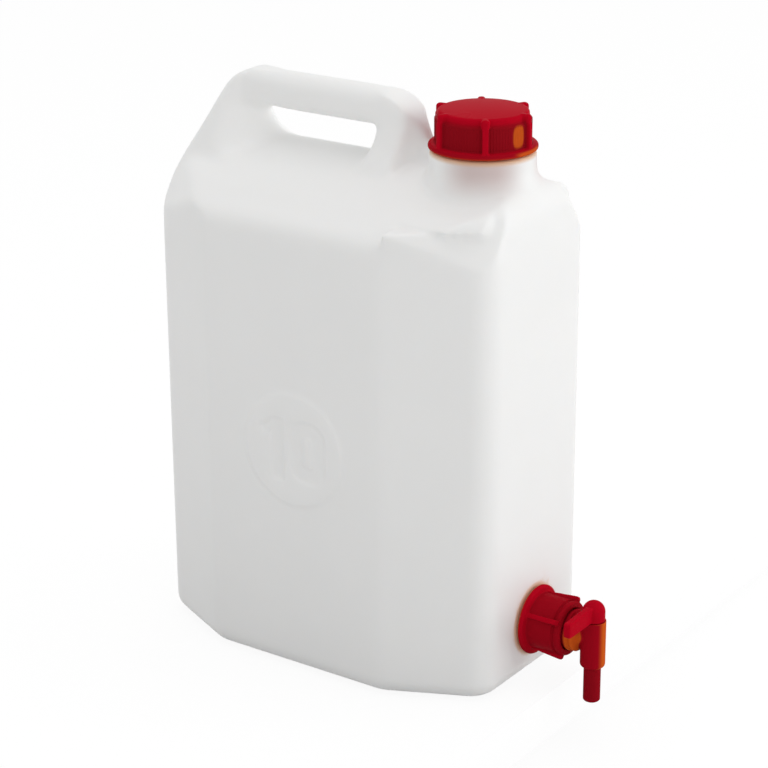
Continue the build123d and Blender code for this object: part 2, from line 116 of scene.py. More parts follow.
def smooth_step(low: float, high: float, values: np.ndarray) -> np.ndarray:
    """Rises smoothly from 0 at low to 1 at high.

    Args:
        low: where the rise starts.
        high: where it ends.
        values: numbers to place on the rise.

    Returns:
        Values from 0 to 1.
    """
    t = np.clip((values - low) / (high - low), 0.0, 1.0)
    return t * t * (3 - 2 * t)


class Bump(Enum):
    """Moulded surface, by the size of its unevenness in millimetres and its depth."""

    BLOWN = (1.6, 0.035)
    INJECTED = (0.7, 0.008)
    FOAMED = (0.35, 0.04)
    RUBBED = (0.5, 0.02)


@dataclass(frozen=True)
class Plastic:
    """Moulded plastic with a fine uneven skin."""

    name: str
    colour: str
    shade: str
    roughness: float
    ior: float
    bump: Bump
    scatter: float = 0.0
    scatter_depth_mm: float = 1.0
    specular: float = 0.5
    # Colour that painted shade is mixed towards
    shadow_tint: str | None = None
    # Colour that painted light is mixed towards
    glow: str | None = None

    def make(self) -> bpy.types.Material:
        """Builds the material.

        Returns:
            A material whose colour drifts slightly between two tones, rougher where it is darker.
        """
        material = bpy.data.materials.new(self.name)
        material.use_nodes = True
        tree = material.node_tree
        tree.nodes.clear()
        place = add_node(tree, "ShaderNodeTexCoord").outputs["Object"]
        drift = add_node(tree, "ShaderNodeTexNoise", {"Scale": 1 / DRIFT, "Detail": 2.0},
                         {"Vector": place})
        colour = add_node(tree, "ShaderNodeMix", {"data_type": "RGBA", 6: linear(self.colour),
                                                  7: linear(self.shade)},
                          {0: drift.outputs["Fac"]}).outputs[2]
        # Mixes in painted shade and painted light from the two vertex layers
        for layer, other in ((PAINTED_SHADE_LAYER, self.shadow_tint), (PAINTED_LIGHT_LAYER, self.glow)):
            if other:
                share = add_node(tree, "ShaderNodeAttribute", {"attribute_name": layer}).outputs["Fac"]
                colour = add_node(tree, "ShaderNodeMix", {"data_type": "RGBA", 7: linear(other)},
                                  {0: share, 6: colour}).outputs[2]
        rough = add_node(tree, "ShaderNodeMapRange",
                         {"To Min": self.roughness * SMOOTHEST, "To Max": self.roughness * ROUGHEST},
                         {"Value": drift.outputs["Fac"]})
        grain_mm, depth_mm = self.bump.value
        grain = add_node(tree, "ShaderNodeTexNoise", {"Scale": 1 / (grain_mm * MM), "Detail": 3.0},
                         {"Vector": place})
        skin = add_node(tree, "ShaderNodeBump", {"Distance": depth_mm * MM, "Strength": 0.5},
                        {"Height": grain.outputs["Fac"]})
        shader = add_node(tree, "ShaderNodeBsdfPrincipled",
                          {"IOR": self.ior, "Specular IOR Level": self.specular,
                           "Subsurface Weight": self.scatter,
                           "Subsurface Scale": self.scatter_depth_mm * MM,
                           "Subsurface Radius": (1.0, 0.9, 0.8)},
                          {"Base Color": colour, "Roughness": rough.outputs["Result"],
                           "Normal": skin.outputs["Normal"]})
        add_node(tree, "ShaderNodeOutputMaterial", None, {"Surface": shader.outputs["BSDF"]})
        return material


# High-density polyethylene, blow moulded: milky white with a satin skin that is slightly uneven,
# painted shade with a painted red reflection on the collar under the cap, and painted orange light beside
# each red flange
CAN_WHITE = Plastic("blow_moulded_polyethylene", "#F6F6F5", "#F3F3F2", roughness=0.42, ior=1.54,
                    bump=Bump.BLOWN, scatter=0.15, scatter_depth_mm=1.0, specular=0.35,
                    shadow_tint="#CBB6B3", glow="#E2B488")
# Polypropylene, injection moulded: deep red with little gloss, darker with painted shade on the cap's
# skirt, the nut's bays, the housing and the nozzle, and orange with painted light where a thin wall would
# let light through
FITTING_RED = Plastic("moulded_polypropylene", "#BA0820", "#AE081E", roughness=0.28, ior=1.49,
                      bump=Bump.INJECTED, scatter=0.04, scatter_depth_mm=0.8, specular=0.003,
                      shadow_tint="#841019", glow="#CE5A1C")
# Expanded polyethylene sheet, die cut: off-white and matt
LINER_FOAM = Plastic("expanded_polyethylene_foam", "#EDEBE4", "#E2E0D8", roughness=0.8, ior=1.5,
                     bump=Bump.FOAMED)
# Nitrile rubber, moulded: black with a dull bloom
SEAL_RUBBER = Plastic("nitrile_rubber", "#1C1C1D", "#262627", roughness=0.55, ior=1.52,
                      bump=Bump.RUBBED)


def shown(name: str, mesh: bpy.types.Mesh) -> bpy.types.Object:
    """Puts a mesh into the scene as an object at the origin.

    Args:
        name: the object's name.
        mesh: its mesh.

    Returns:
        The object.
    """
    mesh.name = name
    piece = bpy.data.objects.new(name, mesh)
    bpy.context.scene.collection.objects.link(piece)
    return piece


def evaluated(piece: bpy.types.Object) -> bpy.types.Mesh:
    """Gives an object's mesh with its modifiers worked out, and deletes the object.

    Args:
        piece: object whose modifiers are finished with.

    Returns:
        A plain mesh.
    """
    graph = bpy.context.evaluated_depsgraph_get()
    mesh = bpy.data.meshes.new_from_object(piece.evaluated_get(graph), depsgraph=graph)
    bpy.data.objects.remove(piece)
    return mesh


def remeshed(mesh: bpy.types.Mesh, voxel: float) -> bpy.types.Mesh:
    """Covers a closed mesh with even quads.

    Args:
        mesh: closed mesh.
        voxel: length of a quad's side.

    Returns:
        The new mesh.
    """
    piece = shown("remesh", mesh)
    modifier = piece.modifiers.new("even_quads", "REMESH")
    modifier.mode = "VOXEL"
    modifier.voxel_size = voxel
    return evaluated(piece)


def thinned(mesh: bpy.types.Mesh, triangles: int) -> bpy.types.Mesh:
    """Merges faces where the surface is flattest.

    Args:
        mesh: mesh to thin.
        triangles: about how many triangles stay.

    Returns:
        The new mesh.
    """
    now = sum(len(face.vertices) - 2 for face in mesh.polygons)
    if now <= triangles:
        return mesh
    piece = shown("thin", mesh)
    modifier = piece.modifiers.new("fewer_faces", "DECIMATE")
    modifier.ratio = triangles / now
    return evaluated(piece)


def places(mesh: bpy.types.Mesh) -> np.ndarray:
    """Gives a mesh's vertices as rows of X, Y and Z."""
    flat = np.empty(len(mesh.vertices) * 3)
    mesh.vertices.foreach_get("co", flat)
    return flat.reshape(-1, 3)


def move_to(mesh: bpy.types.Mesh, rows: np.ndarray) -> None:
    """Moves a mesh's vertices to new places.

    Args:
        mesh: mesh to change.
        rows: new X, Y and Z of each vertex.
    """
    mesh.vertices.foreach_set("co", rows.ravel())
    mesh.update()


def relax(mesh: bpy.types.Mesh, softness: Callable[[np.ndarray], np.ndarray], rounds: int) -> None:
    """Rounds a mesh off by drawing each vertex towards the middle of its neighbours.

    Args:
        mesh: evenly meshed surface.
        softness: gives how far each vertex moves, from 0 to 1, by its place.
        rounds: number of rounds.
    """
    rows = places(mesh)
    ends = np.empty(len(mesh.edges) * 2, dtype=np.int64)
    mesh.edges.foreach_get("vertices", ends)
    first, second = ends.reshape(-1, 2).T
    count = len(rows)
    neighbours = np.bincount(ends, minlength=count)[:, None]
    share = 0.5 * softness(rows)[:, None]
    for _ in range(rounds):
        total = np.empty_like(rows)
        for axis in range(3):
            total[:, axis] = (np.bincount(first, weights=rows[second, axis], minlength=count)
                              + np.bincount(second, weights=rows[first, axis], minlength=count))
        rows += share * (total / neighbours - rows)
    move_to(mesh, rows)


def directions(mesh: bpy.types.Mesh) -> np.ndarray:
    """Gives the outward direction at each vertex."""
    flat = np.empty(len(mesh.vertices) * 3)
    mesh.vertex_normals.foreach_get("vector", flat)
    return flat.reshape(-1, 3)


def nearest_directions(rows: np.ndarray, dense: bpy.types.Mesh) -> np.ndarray:
    """Reads outward directions from a denser mesh of the same surface.

    Args:
        rows: places on the surface.
        dense: the denser mesh.

    Returns:
        One direction for each place.
    """
    tree = KDTree(len(dense.vertices))
    for i, vertex in enumerate(dense.vertices):
        tree.insert(vertex.co, i)
    tree.balance()
    return directions(dense)[[tree.find(row)[1] for row in rows]]


def walled(mesh: bpy.types.Mesh, outward: np.ndarray, wall: float) -> bpy.types.Mesh:
    """Gives an open triangle mesh an inner wall and closes its rims.

    Args:
        mesh: outer skin.
        outward: its outward directions.
        wall: thickness of the wall.

    Returns:
        A closed mesh with the smooth shading of those directions.
    """
    rows = places(mesh)
    count = len(rows)
    corners = np.empty(len(mesh.loops), dtype=np.int64)
    mesh.loops.foreach_get("vertex_index", corners)
    faces = corners.reshape(-1, 3)
    start = faces.ravel()
    end = np.roll(faces, -1, axis=1).ravel()
    rim = ~np.isin(start * count + end, end * count + start)
    a, b = start[rim], end[rim]
    rims = np.stack([b, a, a + count, b + count], axis=1)
    inner = faces[:, ::-1] + count
    whole = bpy.data.meshes.new(mesh.name)
    whole.from_pydata(np.concatenate([rows, rows - outward * wall]).tolist(), [],
                      faces.tolist() + inner.tolist() + rims.tolist())
    whole.shade_smooth()
    whole.normals_split_custom_set_from_vertices(np.concatenate([outward, -outward]).tolist())
    return whole


def paint(mesh: bpy.types.Mesh, layer: str, values: np.ndarray) -> None:
    """Stores one number from 0 to 1 at each vertex for a material to read.

    Args:
        mesh: mesh to paint.
        layer: name of the layer.
        values: its numbers.
    """
    data = mesh.attributes.new(layer, "FLOAT", "POINT").data
    data.foreach_set("value", np.clip(values, 0, 1).astype(np.float32))


def merged_copy(node: bpy.types.Object) -> bmesh.types.BMesh:
    """Copies a CAD node's mesh and joins its loose triangles.

    Args:
        node: CAD node.

    Returns:
        The joined mesh.
    """
    form = bmesh.new()
    form.from_mesh(node.data)
    bmesh.ops.remove_doubles(form, verts=form.verts, dist=0.002 * MM)
    return form


def as_mesh(form: bmesh.types.BMesh, name: str) -> bpy.types.Mesh:
    """Writes a bmesh into a new mesh and frees it.

    Args:
        form: finished bmesh.
        name: name of the mesh.

    Returns:
        The mesh.
    """
    mesh = bpy.data.meshes.new(name)
    form.to_mesh(mesh)
    form.free()
    return mesh


def turned(profile: Sequence[tuple[float, float]], steps: int, centre: Vector, axis: Vector,
           name: str) -> bpy.types.Mesh:
    """Turns a closed outline about an axis.

    Args:
        profile: distance along the axis and radius of each corner, with the solid to the left.
        steps: number of faces round the axis.
        centre: point on the axis from which distances are measured.
        axis: direction of the axis.
        name: name of the mesh.

    Returns:
        A closed ring-shaped mesh.
    """
    form = bmesh.new()
    across = axis.orthogonal().normalized()
    loops = []
    for i in range(steps):
        out = Matrix.Rotation(2 * math.pi * i / steps, 3, axis) @ across
        loops.append([form.verts.new(centre + axis * along + out * radius) for along, radius in profile])
    for i, loop in enumerate(loops):
        after = loops[(i + 1) % steps]
        for j in range(len(profile)):
            k = (j + 1) % len(profile)
            form.faces.new((loop[j], after[j], after[k], loop[k]))
    bmesh.ops.recalc_face_normals(form, faces=form.faces)
    return as_mesh(form, name)


def finished(piece: bpy.types.Object, material: bpy.types.Material, body: str, nodes: Sequence[str] = ()) -> bpy.types.Object:
    """Gives a piece its material, smooth shading and body.

    Args:
        piece: object to finish.
        material: its material.
        body: CAD body that it rides on.
        nodes: CAD nodes that it stands for.

    Returns:
        The same object.
    """
    piece.data.materials.clear()
    piece.data.materials.append(material)
    if not piece.data.has_custom_normals:
        piece.data.shade_smooth()
    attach(piece, body)
    if nodes:
        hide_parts(*nodes)
    log.info("%s rides on %s with %d faces", piece.name, body, len(piece.data.polygons))
    return piece


@dataclass(frozen=True)
class Bar:
    """Bar with round corners that a pressed figure is made of, in millimetres and degrees."""

    x: float
    z: float
    half_width: float
    half_height: float
    radius: float
    turn: float = 0.0

    def distance(self, x: np.ndarray, z: np.ndarray) -> np.ndarray:
        """Gives the signed distance to the bar.

        Args:
            x: distance along the panel from the field's middle.
            z: height above the field's middle.

        Returns:
            Negative values inside the bar.
        """
        cos, sin = math.cos(math.radians(self.turn)), math.sin(math.radians(self.turn))
        along = (x - self.x) * cos + (z - self.z) * sin
        up = -(x - self.x) * sin + (z - self.z) * cos
        across = np.abs(along) - (self.half_width - self.radius)
        above = np.abs(up) - (self.half_height - self.radius)
        beyond = np.hypot(np.maximum(across, 0.0), np.maximum(above, 0.0))
        return beyond + np.minimum(np.maximum(across, above), 0.0) - self.radius


# The capacity number: a one with a stem and a flag, and a nought with a slot
ONE_STEM = Bar(-11.8, -1.0, 4.4, 19.5, 1.2)
ONE_FLAG = Bar(-17.2, 13.2, 5.8, 3.0, 1.0, turn=38)
NOUGHT = Bar(10.4, 0.2, 12.7, 19.2, 11.0)
NOUGHT_SLOT = Bar(10.4, 0.2, 3.3, 9.9, 3.2)


@dataclass
class CanShell:
    """Blown shell of the can, with its corners softened and its capacity number pressed in."""

    node: bpy.types.Object
    body: str = "can"
    voxel: float = 1.25 * MM
    triangles: int = 98000
    rounds: int = 60
    wall: float = 1.8 * MM
    neck_x: float = 80.5 * MM
    neck_radius: float = 24.0 * MM
    neck_bore: float = 21.6 * MM
    collar_top: float = 321.5 * MM
    collar_radius: float = 30.8 * MM
    outlet_z: float = 35.9 * MM
    outlet_radius: float = 14.0 * MM
    outlet_bore: float = 10.5 * MM
    boss_face: float = 121.2 * MM
    half_depth: float = 79.4 * MM
    field_x: float = 1.0 * MM
    field_z: float = 144.0 * MM
    field_radius: float = 35.2 * MM
    digit_depth: float = 1.2 * MM
    digit_edge: float = 2.6 * MM
    front_band: float = 3.0 * MM
    bore_play: float = 0.3 * MM
    neck_depth: float = 6.0 * MM
    boss_depth: float = 4.0 * MM
    cut_play: float = 0.7 * MM
    neck_cut: float = 3.0 * MM
    outlet_cut: float = 2.0 * MM
    body_soft: float = 0.08
    roof_soft: float = 0.42
    roof_z: Span = (246 * MM, 262 * MM)
    leg_soft: float = 0.45
    leg_x: Span = (-40 * MM, -58 * MM)
    leg_foot_z: Span = (284 * MM, 296 * MM)
    leg_top_z: Span = (338 * MM, 346 * MM)
    bar_crisp: float = 0.75
    bar_z: Span = (322 * MM, 328 * MM)
    bar_left_x: Span = (-66 * MM, -56 * MM)
    bar_right_x: Span = (0 * MM, 12 * MM)
    top_corner_crisp: float = 0.6
    top_corner_x: Span = (-62 * MM, -74 * MM)
    top_corner_z: Span = (332 * MM, 340 * MM)
    collar_crisp: float = 0.8
    collar_past: Span = (2 * MM, 8 * MM)
    collar_z: Span = (312 * MM, 318 * MM)
    crease_crisp: float = 0.5
    crease_x: Span = (108 * MM, 116 * MM)
    crease_top_z: Span = (292 * MM, 300 * MM)
    ledge_crisp: float = 0.8
    ledge_x: Span = (58 * MM, 64 * MM)
    ledge_y: Span = (46 * MM, 52 * MM)
    ledge_low_z: Span = (276 * MM, 282 * MM)
    ledge_top_z: Span = (298 * MM, 306 * MM)
    number_crisp: float = 0.7
    number_edge: Span = (36 * MM, 40 * MM)
    corner_x: float = -84.0 * MM
    corner_z: float = 343.0 * MM
    corner_spread: float = 11.0 * MM
    corner_fill: float = 2.2 * MM
    corner_back: float = 0.5
    corner_up: float = 0.87
    # Painted shade, tinted by a painted red reflection of the cap, on the collar under the cap
    cap_shade_share: float = 0.85
    cap_shade_heading: float = 58.0
    cap_shade_turn: Span = (12.0, 58.0)
    cap_shade_past: Span = (1 * MM, 14 * MM)
    cap_shade_below: Span = (26 * MM, 6 * MM)
    # Painted orange light on the white beside the cap's flange and the nut's flange
    glow_share: float = 0.8
    glow_past: Span = (1 * MM, 2 * MM)
    glow_below: Span = (3.4 * MM, 1.4 * MM)
    nut_radius: float = 21.4 * MM
    nut_glow: float = 2.6 * MM

    def neck_distance(self, rows: np.ndarray) -> np.ndarray:
        """Gives each place's distance from the neck's axis."""
        return np.hypot(rows[:, 0] - self.neck_x, rows[:, 1])

    def outlet_distance(self, rows: np.ndarray) -> np.ndarray:
        """Gives each place's distance from the outlet's axis."""
        return np.hypot(rows[:, 1], rows[:, 2] - self.outlet_z)

    def in_bore(self, face: bmesh.types.BMFace) -> bool:
        """Tells whether a face lies on the wall of the neck's or the outlet's bore.

        Args:
            face: face of the CAD shell.

        Returns:
            True for a face that leads inside.
        """
        rows = np.array([face.calc_center_median()])
        at_neck = rows[0, 2] > self.collar_top - self.neck_depth
        at_outlet = rows[0, 0] > self.boss_face - self.boss_depth
        in_neck = self.neck_distance(rows)[0] < self.neck_bore + self.bore_play
        in_outlet = self.outlet_distance(rows)[0] < self.outlet_bore + self.bore_play
        return bool((at_neck and in_neck) or (at_outlet and in_outlet))

    def outside(self) -> bpy.types.Mesh:
        """Keeps the CAD shell's outer skin, and closes it over the two bores.

        Returns:
            A closed mesh of the can's outer form.
        """
        form = merged_copy(self.node)
        form.faces.ensure_lookup_table()
        target = Vector((self.field_x, -self.half_depth, self.field_z))
        start = min(form.faces, key=lambda face: (face.calc_center_median() - target).length)
        reached, open_faces = {start}, [start]
        while open_faces:
            for edge in open_faces.pop().edges:
                for face in edge.link_faces:
                    if face not in reached and not self.in_bore(face):
                        reached.add(face)
                        open_faces.append(face)
        inner = [face for face in form.faces if face not in reached]
        bmesh.ops.delete(form, geom=inner, context="FACES")
        rims = [edge for edge in form.edges if edge.is_boundary]
        bmesh.ops.holes_fill(form, edges=rims)
        return as_mesh(form, "can_outside")

    def softness(self, rows: np.ndarray) -> np.ndarray:
        """Tells how soft the mould left each part of the shell.

        Args:
            rows: places on the shell.

        Returns:
            Values from 0, crisp, to 1, very soft.
        """
        x, y, z = rows.T
        soft = self.body_soft + self.roof_soft * smooth_step(*self.roof_z, z)
        leg = smooth_step(*self.leg_x, x) * smooth_step(*self.leg_foot_z, z)
        soft += self.leg_soft * leg * (1 - smooth_step(*self.leg_top_z, z))
        bar = smooth_step(*self.bar_z, z) * smooth_step(*self.bar_left_x, x)
        bar = bar * (1 - smooth_step(*self.bar_right_x, x))
        top_corner = smooth_step(*self.top_corner_x, x) * smooth_step(*self.top_corner_z, z)
        inner, outer = (self.collar_radius + past for past in self.collar_past)
        near_neck = 1 - smooth_step(inner, outer, self.neck_distance(rows))
        collar = near_neck * smooth_step(*self.collar_z, z)
        crease = smooth_step(*self.crease_x, x) * (1 - smooth_step(*self.crease_top_z, z))
        ledge = smooth_step(*self.ledge_x, x) * smooth_step(*self.ledge_y, np.abs(y))
        ledge = ledge * smooth_step(*self.ledge_low_z, z) * (1 - smooth_step(*self.ledge_top_z, z))
        number = 1 - smooth_step(*self.number_edge, np.hypot(x - self.field_x, z - self.field_z))
        for crisp, share in ((bar, self.bar_crisp), (top_corner, self.top_corner_crisp),
                             (collar, self.collar_crisp), (crease, self.crease_crisp),
                             (ledge, self.ledge_crisp), (number * (y < 0), self.number_crisp)):
            soft = soft * (1 - share * crisp)
        return np.clip(soft, 0, 1)

    def fill_corner(self, mesh: bpy.types.Mesh) -> None:
        """Fills out the handle's upper corner, which the softening draws in.

        Args:
            mesh: softened shell.
        """
        rows = places(mesh)
        from_corner = np.hypot(rows[:, 0] - self.corner_x, rows[:, 2] - self.corner_z)
        push = self.corner_fill * np.exp(-0.5 * (from_corner / self.corner_spread) ** 2)
        rows[:, 0] -= self.corner_back * push
        rows[:, 2] += self.corner_up * push
        move_to(mesh, rows)

    def press_number(self, mesh: bpy.types.Mesh) -> None:
        """Presses the number ten into the round field.

        Args:
            mesh: remeshed shell.
        """
        rows = places(mesh)
        x = (rows[:, 0] - self.field_x) / MM
        z = (rows[:, 2] - self.field_z) / MM
        edge = self.digit_edge / MM
        one = np.minimum(ONE_STEM.distance(x, z), ONE_FLAG.distance(x, z))
        nought = np.maximum(NOUGHT.distance(x, z), -NOUGHT_SLOT.distance(x, z))
        form = np.minimum(one, nought)
        depth = self.digit_depth * (1 - smooth_step(-edge / 2, edge / 2, form))
        front = rows[:, 1] < -self.half_depth + self.front_band
        front = front & (np.hypot(x, z) < self.field_radius / MM)
        rows[front, 1] += depth[front]
        move_to(mesh, rows)

    def open_bores(self, mesh: bpy.types.Mesh) -> bpy.types.Mesh:
        """Cuts the plain neck and outlet off, where the threaded ones stand.

        Args:
            mesh: closed shell.

        Returns:
            The shell with its two openings.
        """
        form = bmesh.new()
        form.from_mesh(mesh)
        form.verts.ensure_lookup_table()
        rows = places(mesh)
        neck = self.neck_distance(rows) < self.neck_radius + self.cut_play
        neck = neck & (rows[:, 2] > self.collar_top - self.neck_cut)
        spout = self.outlet_distance(rows) < self.outlet_radius + self.cut_play
        spout = spout & (rows[:, 0] > self.boss_face - self.outlet_cut)
        chosen = [form.verts[i] for i in np.nonzero(neck | spout)[0]]
        bmesh.ops.delete(form, geom=chosen, context="VERTS")
        bmesh.ops.triangulate(form, faces=form.faces)
        return as_mesh(form, "can_open")

    def cap_shade(self, rows: np.ndarray) -> np.ndarray:
        """Tells how much painted shade, tinted by a painted red reflection of the cap, falls on each part
        of the collar.

        Args:
            rows: places on the shell.

        Returns:
            Values from 0 to 1.
        """
        inner, outer = (self.collar_radius + past for past in self.cap_shade_past)
        near = 1 - smooth_step(inner, outer, self.neck_distance(rows))
        low, top = (self.collar_top - below for below in self.cap_shade_below)
        high = smooth_step(low, top, rows[:, 2])
        heading = np.degrees(np.arctan2(np.abs(rows[:, 1]), rows[:, 0] - self.neck_x))
        between = 1 - smooth_step(*self.cap_shade_turn, np.abs(heading - self.cap_shade_heading))
        return self.cap_shade_share * near * high * between

    def red_light(self, rows: np.ndarray) -> np.ndarray:
        """Tells where painted orange light, standing for light come through a red flange, falls on the
        white close beside it.

        Args:
            rows: places on the shell.

        Returns:
            Values from 0 to 1.
        """
        inner, outer = (self.collar_radius + past for past in self.glow_past)
        low, top = (self.collar_top - below for below in self.glow_below)
        collar = 1 - smooth_step(inner, outer, self.neck_distance(rows))
        collar = collar * smooth_step(low, top, rows[:, 2])
        nut = 1 - smooth_step(self.nut_radius, self.nut_radius + self.nut_glow, self.outlet_distance(rows))
        nut = nut * (rows[:, 0] > self.boss_face - self.boss_depth)
        return self.glow_share * np.maximum(collar, nut)

    def build(self, material: bpy.types.Material) -> bpy.types.Object:
        """Builds the shell.

        Args:
            material: the can's plastic.

        Returns:
            The shell's object.
        """
        dense = remeshed(self.outside(), self.voxel)
        relax(dense, self.softness, self.rounds)
        self.fill_corner(dense)
        self.press_number(dense)
        low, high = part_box("can_body")
        move_to(dense, np.clip(places(dense), low, high))
        skin = self.open_bores(thinned(dense.copy(), self.triangles))
        mesh = walled(skin, nearest_directions(places(skin), dense), self.wall)
        # Paints shade with the cap's red reflection under the cap, and orange light beside the flanges
        paint(mesh, PAINTED_SHADE_LAYER, self.cap_shade(places(mesh)))
        paint(mesh, PAINTED_LIGHT_LAYER, self.red_light(places(mesh)))
        return finished(shown("can_shell", mesh), material, self.body, ["can_body"])


class RepeatTree:
    """Geometry Nodes tree with named sizes, whose result is taken as a plain mesh."""

    NAME = "repeat"
    FLOATS: tuple[str, ...] = ()
    COUNTS: tuple[str, ...] = ()

    def __init__(self, material: bpy.types.Material) -> None:
        """Builds the tree.

        Args:
            material: material that its mesh gets.
        """
        self.tree = bpy.data.node_groups.new(self.NAME, "GeometryNodeTree")
        kinds = {name: "NodeSocketFloat" for name in self.FLOATS}
        kinds.update({name: "NodeSocketInt" for name in self.COUNTS})
        self.sockets = {name: self.tree.interface.new_socket(name, in_out="INPUT", socket_type=kind)
                        for name, kind in kinds.items()}
        self.tree.interface.new_socket("Geometry", in_out="OUTPUT", socket_type="NodeSocketGeometry")
        given = add_node(self.tree, "NodeGroupInput").outputs
        real = add_node(self.tree, "GeometryNodeRealizeInstances", None, {"Geometry": self.wire(given)})
        dressed = add_node(self.tree, "GeometryNodeSetMaterial", {"Material": material},
                           {"Geometry": real.outputs[0]})
        add_node(self.tree, "NodeGroupOutput", None, {"Geometry": dressed.outputs[0]})

    def wire(self, given: bpy.types.bpy_prop_collection) -> bpy.types.NodeSocket:
        """Adds the nodes that make the shape.

        Args:
            given: the tree's inputs by name; not used here.

        Returns:
            The socket with the shape.
        """
        raise NotImplementedError

    def made(self, values: dict[str, float]) -> bpy.types.Mesh:
        """Makes the shape at given sizes.

        Args:
            values: size of each named input.

        Returns:
            The shape's mesh.
        """
        piece = shown(self.NAME, bpy.data.meshes.new(self.NAME))
        modifier = piece.modifiers.new(self.NAME, "NODES")
        modifier.node_group = self.tree
        for name, value in values.items():
            modifier[self.sockets[name].identifier] = value
        return evaluated(piece)


class ThreadTree(RepeatTree):
    """Winds a round ridge along a screw line about Z, thinner towards both ends."""

    NAME = "screw_thread"
    FLOATS = ("Radius", "Pitch", "Turns", "Ridge")
    COUNTS = ("Steps",)
    THINNEST = 0.05
    GROWTH = 14.0

    def wire(self, given: bpy.types.bpy_prop_collection) -> bpy.types.NodeSocket:
        """Adds the nodes that wind the ridge.

        Args:
            given: the tree's inputs by name.

        Returns:
            The socket with the thread.
        """
        tree = self.tree
        rise = add_node(tree, "ShaderNodeMath", {"operation": "MULTIPLY"},
                        {0: given["Pitch"], 1: given["Turns"]})
        line = add_node(tree, "GeometryNodeCurveSpiral", {"Reverse": False},
                        {"Resolution": given["Steps"], "Rotations": given["Turns"],
                         "Start Radius": given["Radius"], "End Radius": given["Radius"],
                         "Height": rise.outputs[0]})
        along = add_node(tree, "GeometryNodeSplineParameter").outputs["Factor"]
        left = add_node(tree, "ShaderNodeMath", {"operation": "SUBTRACT", 0: 1.0}, {1: along})
        nearest = add_node(tree, "ShaderNodeMath", {"operation": "MINIMUM"}, {0: along, 1: left.outputs[0]})
        grown = add_node(tree, "ShaderNodeMath",
                         {"operation": "MULTIPLY_ADD", 1: self.GROWTH, 2: self.THINNEST},
                         {0: nearest.outputs[0]})
        taper = add_node(tree, "ShaderNodeMath", {"operation": "MINIMUM", 1: 1.0}, {0: grown.outputs[0]})
        section = add_node(tree, "GeometryNodeCurvePrimitiveCircle", {"Resolution": 10},
                           {"Radius": given["Ridge"]})
        swept = add_node(tree, "GeometryNodeCurveToMesh", {"Fill Caps": True},
                         {"Curve": line.outputs[0], "Profile Curve": section.outputs[0],
                          "Scale": taper.outputs[0]})
        return swept.outputs[0]


class RidgeTree(RepeatTree):
    """Stands fine upright ridges along an arc about Z."""

    NAME = "grip_ridges"
    FLOATS = ("Radius", "Start", "Sweep", "Ridge", "Height")
    COUNTS = ("Count",)

    def wire(self, given: bpy.types.bpy_prop_collection) -> bpy.types.NodeSocket:
        """Adds the nodes that stand the ridges.

        Args:
            given: the tree's inputs by name.

        Returns:
            The socket with the ridges.
        """
        tree = self.tree
        arc = add_node(tree, "GeometryNodeCurveArc", None,
                       {"Resolution": given["Count"], "Radius": given["Radius"],
                        "Start Angle": given["Start"], "Sweep Angle": given["Sweep"]})
        ridge = add_node(tree, "GeometryNodeMeshCylinder", {"Vertices": 8, "Side Segments": 12},
                         {"Radius": given["Ridge"], "Depth": given["Height"]})
        stood = add_node(tree, "GeometryNodeInstanceOnPoints", None,
                         {"Points": arc.outputs["Curve"], "Instance": ridge.outputs["Mesh"]})
        return stood.outputs[0]


@dataclass
class ThreadedTube:
    """Short tube with a screw thread outside, standing on the shell."""

    name: str
    foot: Vector
    axis: Vector
    length: float
    radius: float
    bore: float
    root: float
    pitch: float
    turns: float
    body: str = "can"
    steps: int = 96
    ridge: float = 0.9 * MM
    sunk: float = 0.75 * MM
    edge: float = 0.5 * MM
    skirt: float = 1.6 * MM
    skirt_high: float = 0.15 * MM
    skirt_low: float = 0.3 * MM
    mouth_gap: float = 2.6 * MM

    def build(self, tree: ThreadTree, material: bpy.types.Material) -> bpy.types.Object:
        """Builds the tube and its thread as one piece.

        Args:
            tree: Geometry Nodes tree for the thread.
            material: the can's plastic.

        Returns:
            The tube's object.
        """
        edge, skirt = self.edge, self.skirt
        profile = [
            (-self.root, self.bore), (self.length - edge, self.bore), (self.length, self.bore + edge),
            (self.length, self.radius - edge), (self.length - edge, self.radius),
            (skirt, self.radius), (skirt / 2, self.radius + skirt / 4),
            (self.skirt_high, self.radius + skirt), (-self.skirt_low, self.radius + skirt),
            (-self.root, self.radius - edge),
        ]
        tube = turned(profile, self.steps, self.foot, self.axis, self.name)
        thread = tree.made({"Radius": self.radius - self.sunk + self.ridge / 2, "Pitch": self.pitch,
                            "Turns": self.turns, "Ridge": self.ridge, "Steps": self.steps})
        turn = Vector((0, 0, 1)).rotation_difference(self.axis).to_matrix().to_4x4()
        start = self.length - self.pitch * self.turns - self.mouth_gap
        thread.transform(Matrix.Translation(self.foot + self.axis * start) @ turn)
        form = bmesh.new()
        form.from_mesh(tube)
        form.from_mesh(thread)
        piece = shown(self.name, as_mesh(form, self.name))
        return finished(piece, material, self.body)


